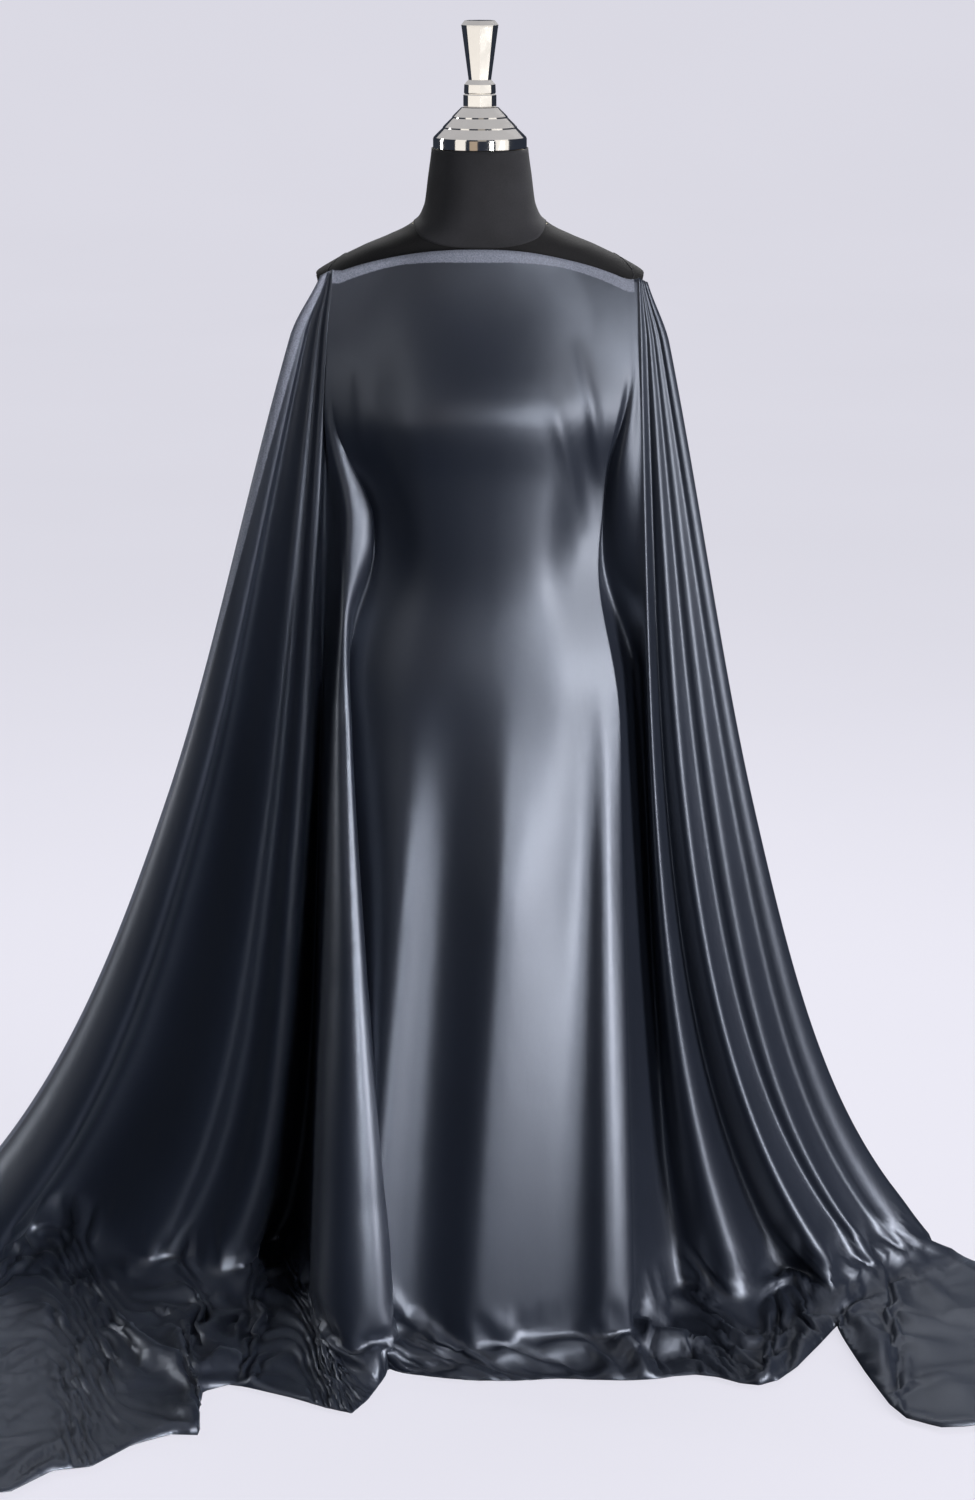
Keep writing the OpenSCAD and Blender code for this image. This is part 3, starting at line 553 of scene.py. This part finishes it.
def settle(points, faces, rows, columns):
    """Lets the cloth's lowest part fall onto the floor, and returns all the points."""
    used = np.zeros(len(points), bool)
    used[rows * columns:] = True
    held = points[: rows * columns, 2] < PIN_HIGH + HELD_ROWS
    used[: rows * columns] = held
    index = np.cumsum(used) - 1
    low_faces = [[int(index[v]) for v in face] for face in faces if all(used[v] for v in face)]
    mesh = bpy.data.meshes.new("falling")
    mesh.from_pydata(points[used].tolist(), [], low_faces)
    piece = link("falling", mesh)
    pin = piece.vertex_groups.new(name="pin")
    hanging = np.nonzero(used)[0] < rows * columns
    for v in range(len(mesh.vertices)):
        if hanging[v]:
            weight = float(ease((mesh.vertices[v].co.z - PIN_LOW) / (PIN_HIGH - PIN_LOW)))
            if weight > 0:
                pin.add([v], weight, "REPLACE")
    hem = np.nonzero(used)[0] >= rows * columns
    hem &= points[used][:, 2] < HEM_Z
    pin.add([int(v) for v in np.nonzero(hem)[0]], 1.0, "REPLACE")
    floor = grid_mesh("landing", np.array([[(x, y, 0.0) for x in (-2.0, 2.0)] for y in (-2.0, 2.0)]))
    floor.modifiers.new("collision", "COLLISION")
    floor.collision.thickness_outer = 0.002
    floor.collision.cloth_friction = 20
    cloth = piece.modifiers.new("cloth", "CLOTH")
    settings = cloth.settings
    settings.quality = 6
    settings.mass = 0.15
    settings.tension_stiffness = 10
    settings.compression_stiffness = 6
    settings.shear_stiffness = 4
    settings.bending_stiffness = 1.0
    settings.tension_damping = settings.compression_damping = settings.shear_damping = 3
    settings.bending_damping = 0.5
    settings.air_damping = 2
    settings.vertex_group_mass = "pin"
    settings.pin_stiffness = 1.0
    settings.shrink_min = -0.012
    collision = cloth.collision_settings
    collision.distance_min = 0.003
    collision.use_self_collision = True
    collision.self_distance_min = 0.0032
    collision.self_friction = 3
    scene = bpy.context.scene
    cloth.point_cache.frame_start, cloth.point_cache.frame_end = 1, SETTLE_FRAMES
    for frame_number in range(1, SETTLE_FRAMES + 1):
        scene.frame_set(frame_number)
    graph = bpy.context.evaluated_depsgraph_get()
    fallen = piece.evaluated_get(graph).to_mesh()
    place = np.empty(len(fallen.vertices) * 3, np.float32)
    fallen.vertices.foreach_get("co", place)
    points = points.copy()
    points[used] = place.reshape(-1, 3)
    scene.frame_set(1)
    for made in (piece, floor):
        bpy.data.objects.remove(made)
    return points


# ---- Materials ----


class Nodes:
    """A material's node tree, with short ways to add and join nodes."""

    def __init__(self, name):
        self.material = bpy.data.materials.new(name)
        self.material.use_nodes = True
        self.tree = self.material.node_tree
        self.shader = self.tree.nodes["Principled BSDF"]
        self.place = self.add("ShaderNodeTexCoord").outputs["Object"]

    def add(self, kind, **settings):
        node = self.tree.nodes.new(kind)
        for key, value in settings.items():
            setattr(node, key, value)
        return node

    def join(self, source, target):
        self.tree.links.new(source, target)

    def noise(self, scale, detail=2.0, rough=0.5, stretch=None):
        node = self.add("ShaderNodeTexNoise")
        node.inputs["Scale"].default_value = scale
        node.inputs["Detail"].default_value = detail
        node.inputs["Roughness"].default_value = rough
        place = self.place
        if stretch:
            mapping = self.add("ShaderNodeMapping")
            mapping.inputs["Scale"].default_value = stretch
            self.join(place, mapping.inputs["Vector"])
            place = mapping.outputs["Vector"]
        self.join(place, node.inputs["Vector"])
        return node.outputs["Fac"]

    def spread(self, source, low, high, start=0.3, end=0.7):
        node = self.add("ShaderNodeMapRange")
        node.inputs["From Min"].default_value = start
        node.inputs["From Max"].default_value = end
        node.inputs["To Min"].default_value = low
        node.inputs["To Max"].default_value = high
        self.join(source, node.inputs["Value"])
        return node.outputs["Result"]

    def blend(self, share, first, second):
        """A colour between two, each a colour or a socket."""
        node = self.add("ShaderNodeMix", data_type="RGBA")
        self.join(share, node.inputs[0])
        for socket, value in ((node.inputs[6], first), (node.inputs[7], second)):
            if isinstance(value, tuple):
                socket.default_value = (*value, 1)
            else:
                self.join(value, socket)
        return node.outputs[2]

    def bump(self, height, strength, distance, under=None):
        node = self.add("ShaderNodeBump")
        node.inputs["Strength"].default_value = strength
        node.inputs["Distance"].default_value = distance
        self.join(height, node.inputs["Height"])
        if under:
            self.join(under, node.inputs["Normal"])
        return node.outputs["Normal"]

    def set(self, **values):
        for key, value in values.items():
            self.shader.inputs[key.replace("_", " ")].default_value = value


def tinted(color, factor):
    return tuple(c * factor for c in color)


def satin_material():
    """Dark satin with a fine grain, and the paler, rougher selvedge along its edge."""
    n = Nodes("satin")
    deep, pale = (0.0030, 0.0042, 0.0088), (0.0055, 0.0074, 0.0140)
    cloth = n.blend(n.spread(n.noise(9, 4), 0, 1), deep, pale)
    cloth = n.blend(n.spread(n.noise(1100, 2, 0.6), 0, 0.5), cloth, (0.010, 0.013, 0.021))
    edge = n.add("ShaderNodeAttribute", attribute_name="edge_distance").outputs["Fac"]
    wander = n.add("ShaderNodeMath", operation="MULTIPLY_ADD")
    n.join(n.noise(260, 3, 0.7), wander.inputs[0])
    wander.inputs[1].default_value = 0.0026
    n.join(edge, wander.inputs[2])
    selvedge = n.spread(wander.outputs[0], 1, 0, BAND + 0.0008, BAND + 0.0020)
    woven = n.blend(n.spread(n.noise(700, 2), 0, 1), (0.09, 0.10, 0.13), (0.19, 0.20, 0.25))
    n.join(n.blend(selvedge, cloth, woven), n.shader.inputs["Base Color"])
    sheen = n.spread(n.noise(700, 3, 0.7), 0.33, 0.46)
    matt = n.add("ShaderNodeMath", operation="MULTIPLY_ADD")
    n.join(selvedge, matt.inputs[0])
    matt.inputs[1].default_value = 0.35
    n.join(sheen, matt.inputs[2])
    n.join(matt.outputs[0], n.shader.inputs["Roughness"])
    grain = n.bump(n.noise(1500, 2, 0.6), 0.22, 0.0006)
    n.join(n.bump(n.noise(34, 3, 0.55, (1.0, 1.0, 0.35)), 0.10, 0.004, grain), n.shader.inputs["Normal"])
    n.set(Specular_IOR_Level=1.0, Specular_Tint=(0.74, 0.82, 1.0, 1), Sheen_Weight=0.05, Sheen_Roughness=0.4)
    n.set(Sheen_Tint=(0.5, 0.6, 0.8, 1), Coat_Weight=0.10, Coat_Roughness=0.30)
    return n.material


def woven_material(name, color, threads, sheen):
    """Black torso cloth: a fine weave with a little fluff."""
    n = Nodes(name)
    n.join(
        n.blend(n.spread(n.noise(14, 4), 0, 1), tinted(color, 0.75), tinted(color, 1.35)),
        n.shader.inputs["Base Color"],
    )
    n.join(n.spread(n.noise(threads * 0.5, 3), 0.82, 0.98), n.shader.inputs["Roughness"])
    weave = n.noise(threads, 1, 0.5, (1.0, 1.0, 1.6))
    n.join(n.bump(weave, 0.35, 0.0004), n.shader.inputs["Normal"])
    n.set(Specular_IOR_Level=0.25, Sheen_Weight=sheen, Sheen_Roughness=0.5)
    return n.material


def metal_material(name, color, roughness, brush, wear=0.06, metallic=1.0):
    """Polished or machined metal with faint smears and a fine grain as strong as brush says."""
    n = Nodes(name)
    smears = n.spread(n.noise(22, 5, 0.6), 0, 1)
    n.join(n.blend(smears, tinted(color, 1 - wear), color), n.shader.inputs["Base Color"])
    n.join(n.spread(n.noise(60, 4, 0.6), roughness * 0.7, roughness * 1.5), n.shader.inputs["Roughness"])
    n.join(n.bump(n.noise(900, 2, 0.5, (1.0, 1.0, 0.08)), brush, 0.0003), n.shader.inputs["Normal"])
    n.set(Metallic=metallic)
    return n.material


def plain_material(name, color, roughness, grain_scale, grain, vary=0.25, stretch=None):
    """Moulded, cast, laminated or sawn stuff: mottled colour and a grain that stretch draws out."""
    n = Nodes(name)
    n.join(
        n.blend(n.spread(n.noise(grain_scale * 0.15, 5, 0.6, stretch), 0, 1), tinted(color, 1 - vary),
                tinted(color, 1 + vary)),
        n.shader.inputs["Base Color"],
    )
    n.join(n.spread(n.noise(grain_scale * 0.4, 3), roughness * 0.85, min(1, roughness * 1.12)),
           n.shader.inputs["Roughness"])
    n.join(n.bump(n.noise(grain_scale, 3, 0.6, stretch), grain, 0.0008), n.shader.inputs["Normal"])
    return n.material


def make_materials():
    return {
        "rubber": plain_material("rubber", (0.018, 0.018, 0.018), 0.85, 400, 0.4),
        "cast_iron": plain_material("cast_iron", (0.035, 0.036, 0.038), 0.55, 180, 0.6),
        "base_chrome": metal_material("base_chrome", (0.74, 0.74, 0.75), 0.07, 0.05),
        "column_chrome": metal_material("column_chrome", (0.74, 0.74, 0.75), 0.07, 0.03),
        "cap_chrome": metal_material("cap_chrome", (0.86, 0.83, 0.79), 0.075, 0.03, 0.10),
        "steel": metal_material("steel", (0.46, 0.46, 0.47), 0.28, 0.25, 0.2),
        "brass": metal_material("brass", (0.66, 0.48, 0.20), 0.22, 0.15, 0.2),
        "nylon": plain_material("nylon", (0.72, 0.70, 0.64), 0.45, 250, 0.12, 0.05),
        "knob_plastic": plain_material("knob_plastic", (0.014, 0.014, 0.016), 0.42, 600, 0.3),
        "resin": plain_material("resin", (0.56, 0.50, 0.36), 0.5, 120, 0.3, 0.12),
        "plywood": plain_material("plywood", (0.46, 0.31, 0.17), 0.62, 90, 0.3, 0.22, (1.0, 0.12, 1.0)),
        "torso_cloth": woven_material("torso_cloth", (0.0048, 0.0048, 0.0058), 1500, 0.02),
        "neck_cloth": woven_material("neck_cloth", (0.0170, 0.0172, 0.0205), 1100, 0.06),
    }


def finish_nodes(made):
    """Gives every CAD node its record slot's finish."""
    for part in frame["record"]["subparts"]:
        if part["material_slot"] in made:
            mesh = frame["nodes"][part["node"]].data
            mesh.materials.clear()
            mesh.materials.append(made[part["material_slot"]])


# ---- The torso's cloth, with its seams ----

NECK_TOP = 1391
SKIN = 0.0014  # thickness of the torso's cloth


def neck_seam_height(angle):
    """The neck piece dips in front and behind, and rises over the shoulders."""
    side = np.cos(np.radians(angle)) ** 2
    return 1284 + 26 * side**0.8


def torso_pieces():
    """The torso's cloth, the neck's, and the seams on them."""
    angles = np.arange(0, 360, 3.0)
    levels = np.concatenate([np.arange(620, 1100, 12), np.arange(1100, 1230, 6), np.arange(1230, 1310, 2.5)])
    body = torso_point(angles[None, :], levels[:, None])
    cover = grid_mesh("torso_skin", body, closed=True)
    thicken(cover, SKIN, -1)
    share = np.linspace(0, 1, 26)[:, None]
    low = neck_seam_height(angles)[None, :]
    heights = low + (NECK_TOP - 0.5 - low) * share**1.2
    proud = 0.9 * (1 - ease(share * 6)) + 0.2
    neck = grid_mesh("neck_skin", torso_point(angles[None, :], heights, proud), closed=True)
    thicken(neck, SKIN, -1)
    seams = []
    for side, name in ((-1, "right"), (1, "left")):
        oval = [armhole_point(side, turn) for turn in np.linspace(0.0, 1.0, 48)]
        seams.append(seam(name + "_armhole_seam", oval))
    middle = np.linspace(1284, 1255, 12)
    seams.append(seam("front_seam", torso_point(270.0, middle, 0.35)))
    seams.append(seam("back_seam", torso_point(90.0, np.linspace(1284, 622, 90), 0.35)))
    return cover, neck, seams


def armhole_point(side, turn):
    """A point of the seam round an arm plate: an oval drawn on the torso from the side."""
    angle = 2 * math.pi * turn
    z = 1184 + 88 * math.sin(angle)
    y = 12 + 62 * math.cos(angle)
    around = np.arange(180, 361, 1.0) if y < 0 else np.arange(0, 181, 1.0)
    around = around[np.abs(np.cos(np.radians(around))) > 0.05]
    around = around[np.sign(np.cos(np.radians(around))) == side]
    points = torso_point(around, z, 0.35)
    return points[np.argmin(np.abs(points[:, 1] - y * MM))]


def seam(name, points):
    """A thin stitched ridge along points on the torso."""
    curve = bpy.data.curves.new(name, "CURVE")
    curve.dimensions = "3D"
    curve.bevel_depth = 0.0006
    curve.bevel_resolution = 2
    line = curve.splines.new("POLY")
    line.points.add(len(points) - 1)
    for point, place in zip(line.points, points):
        point.co = (*place, 1)
    made = link(name + "_line", curve)
    graph = bpy.context.evaluated_depsgraph_get()
    mesh = bpy.data.meshes.new_from_object(made.evaluated_get(graph))
    bpy.data.objects.remove(made)
    mesh.shade_smooth()
    return link(name, mesh)


def thicken(piece, thickness, offset=0):
    solid = piece.modifiers.new("thickness", "SOLIDIFY")
    solid.thickness = thickness
    solid.offset = offset
    apply_modifiers(piece)


# ---- Stage ----


def area_light(name, place, aim, size, power, color=(1, 1, 1)):
    data = bpy.data.lights.new(name, "AREA")
    data.shape = "RECTANGLE"
    data.size, data.size_y = size
    data.energy = power
    data.color = color
    light = bpy.data.objects.new(name, data)
    light.location = place
    light.rotation_euler = (Vector(aim) - Vector(place)).to_track_quat("-Z", "Y").to_euler()
    bpy.context.collection.objects.link(light)
    return light


def glowing(name, color, strength):
    """A mostly glowing surface that still takes soft shadows."""
    n = Nodes(name)
    shade = tinted(color, 0.15)
    color = n.blend(n.spread(n.noise(0.8, 3), 0, 1), tinted(color, 0.985), color)
    n.join(color, n.shader.inputs["Emission Color"])
    n.join(n.blend(n.spread(n.noise(3, 2), 0, 1), shade, tinted(shade, 0.97)), n.shader.inputs["Base Color"])
    n.set(Emission_Strength=strength, Roughness=1.0, Specular_IOR_Level=0.0)
    return n.material


def make_stage():
    """A pale round floor that rises into a wall far off, and soft lights."""
    bpy.context.scene.view_settings.view_transform = "Standard"
    world = bpy.data.worlds.new("world")
    world.use_nodes = True
    world.node_tree.nodes["Background"].inputs["Color"].default_value = (0.55, 0.68, 1.0, 1)
    world.node_tree.nodes["Background"].inputs["Strength"].default_value = 0.05
    bpy.context.scene.world = world
    profile = [(0.02, 0.0), (3.0, 0.0), (11.0, 0.0), (12.5, 0.3), (13.6, 1.2), (14.0, 2.8), (14.0, 14.0)]
    turns = np.linspace(0, 2 * math.pi, 48, endpoint=False)
    bowl = np.array([[(r * math.cos(a), r * math.sin(a), z) for a in turns] for r, z in profile])
    floor = grid_mesh("floor", bowl, closed=True)
    floor.data.materials.append(glowing("stage", (0.73, 0.722, 0.80), 0.96))
    floor.visible_glossy = floor.visible_diffuse = False
    area_light("key", (3.2, -2.05, 2.1), (0.1, 0, 0.8), (0.8, 1.8), 64, (1.0, 0.98, 0.96))
    area_light("low_key", (3.1, -2.05, 0.7), (0.1, 0, 0.3), (0.8, 1.3), 125, (1.0, 0.98, 0.97))
    area_light("front", (1.7, -3.1, 1.4), (-0.2, 0, 0.5), (0.5, 2.2), 46)
    wing_light = area_light("left_wing", (0.9, -3.2, 1.2), (-0.6, 0, 0.35), (0.35, 1.4), 4)
    wing_light.data.spread = math.radians(24)
    area_light("back_top", (0.3, 1.7, 2.6), (0, -0.4, 0), (2.5, 0.8), 80)
    area_light("left_rim", (-2.8, 0.9, 1.4), (-0.3, 0, 0.7), (0.35, 2.2), 26)
    for name, place, size, strength in CAP_CARDS:
        corners = [[(x, 0.0, z) for x in (-size[0], size[0])] for z in (-size[1], size[1])]
        card = grid_mesh(name, np.array(corners))
        card.location = place
        card.rotation_euler = (Vector(CAP_PLACE) - Vector(place)).to_track_quat("-Y", "Z").to_euler()
        card.data.materials.append(glowing(name, strength, 1.0))
        card.visible_camera = card.visible_diffuse = card.visible_shadow = False


CAP_PLACE = (0, 0, 1.45)
# Warm and white cards for the polished cap to mirror: name, place, half size and colour
CAP_CARDS = [
    ("card_left", (-0.9, -0.8, 1.6), (0.30, 0.80), (0.95, 0.92, 0.88)),
    ("card_right", (0.9, -0.6, 1.6), (0.36, 0.80), (0.95, 0.93, 0.90)),
    ("card_front", (0.25, -2.6, 2.1), (0.50, 0.60), (0.34, 0.32, 0.29)),
    ("card_warm", (-0.55, -2.0, 1.5), (0.35, 0.60), (0.42, 0.34, 0.26)),
    ("card_high", (0.0, 0.7, 2.9), (1.8, 1.5), (0.50, 0.50, 0.52)),
]


make_stage()
made = make_materials()
made["satin"] = satin_material()
finish_nodes(made)
drape = cloth_piece()
drape.data.materials.append(made["satin"])
thicken(drape, 0.0009)
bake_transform(drape)
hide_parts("drape")
cover, neck, seams = torso_pieces()
for piece, node, slot in ((cover, "torso_cover", "torso_cloth"), (neck, "neck_cover", "neck_cloth")):
    piece.data.materials.append(made[slot])
    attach(piece, "form")
    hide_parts(node)
for piece in seams:
    piece.data.materials.append(made["neck_cloth"])
    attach(piece, "form")
